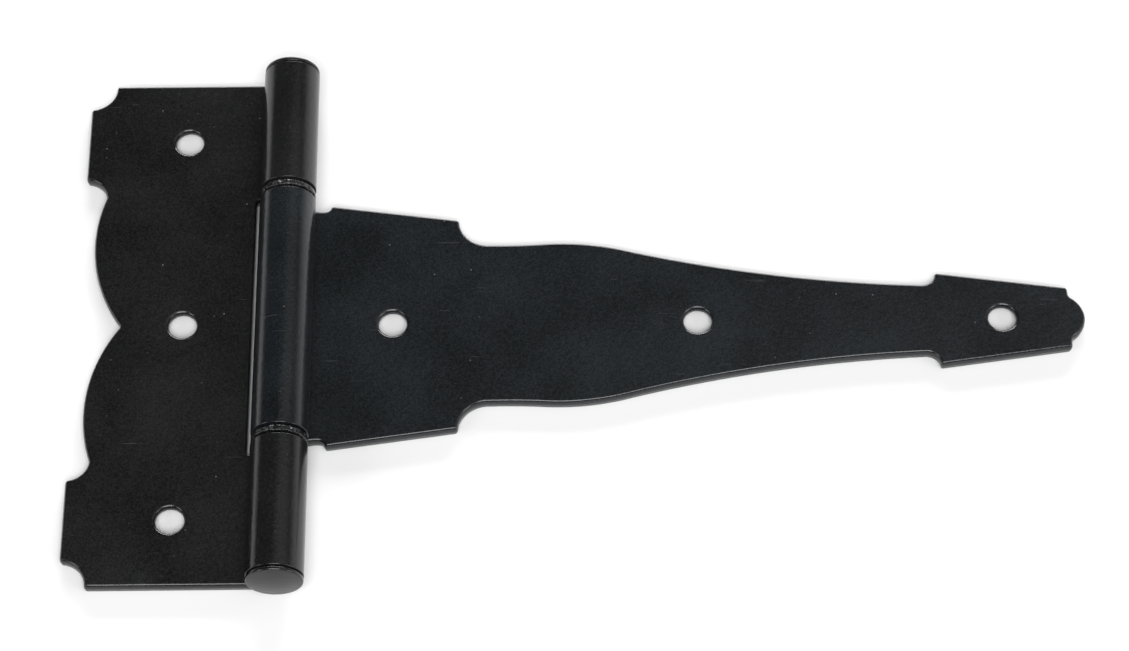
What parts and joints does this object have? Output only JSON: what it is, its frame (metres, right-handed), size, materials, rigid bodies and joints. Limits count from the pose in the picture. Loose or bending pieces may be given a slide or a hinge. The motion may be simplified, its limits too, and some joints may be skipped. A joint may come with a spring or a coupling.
{
  "type": "t hinge",
  "caption": "Black T hinge for a gate or shed door: a scalloped post leaf, a long tapered strap leaf and a rolled barrel on a captive pin.",
  "frame": {"origin": "centre of the hinge's footprint, on the plane of both leaves' back faces, with the hinge laid flat", "axes": "+X along the strap from the barrel to the tip, +Y along the barrel's pin, +Z out of the front faces, which the barrel stands proud of"},
  "size_m": [0.2562, 0.1506, 0.0144],
  "materials": {
    "leaf_coat": "satin black powder coat with a fine speckle",
    "strap_coat": "satin black powder coat with a fine speckle",
    "hardware_coat": "satin black powder coat"
  },
  "bodies": {
    "post": {"post_leaf": "leaf_coat", "hinge_pin": "hardware_coat", "upper_pin_cap": "hardware_coat", "lower_pin_cap": "hardware_coat"},
    "strap": {"strap_leaf": "strap_coat"},
    "upper_washer_ring": {"upper_washer": "hardware_coat"},
    "lower_washer_ring": {"lower_washer": "hardware_coat"}
  },
  "joints": [
    {"name": "strap_swing", "type": "hinge", "parent": "post", "child": "strap", "pos_m": [-0.0751, 0, 0.0072], "axis": [0, -1, 0], "range_deg": [-90, 180]},
    {"name": "upper_washer_turn", "type": "hinge", "parent": "post", "child": "upper_washer_ring", "pos_m": [-0.0751, 0.0358, 0.0072], "axis": [0, 1, 0], "continuous": true},
    {"name": "lower_washer_turn", "type": "hinge", "parent": "post", "child": "lower_washer_ring", "pos_m": [-0.0751, -0.0358, 0.0072], "axis": [0, 1, 0], "continuous": true}
  ]
}
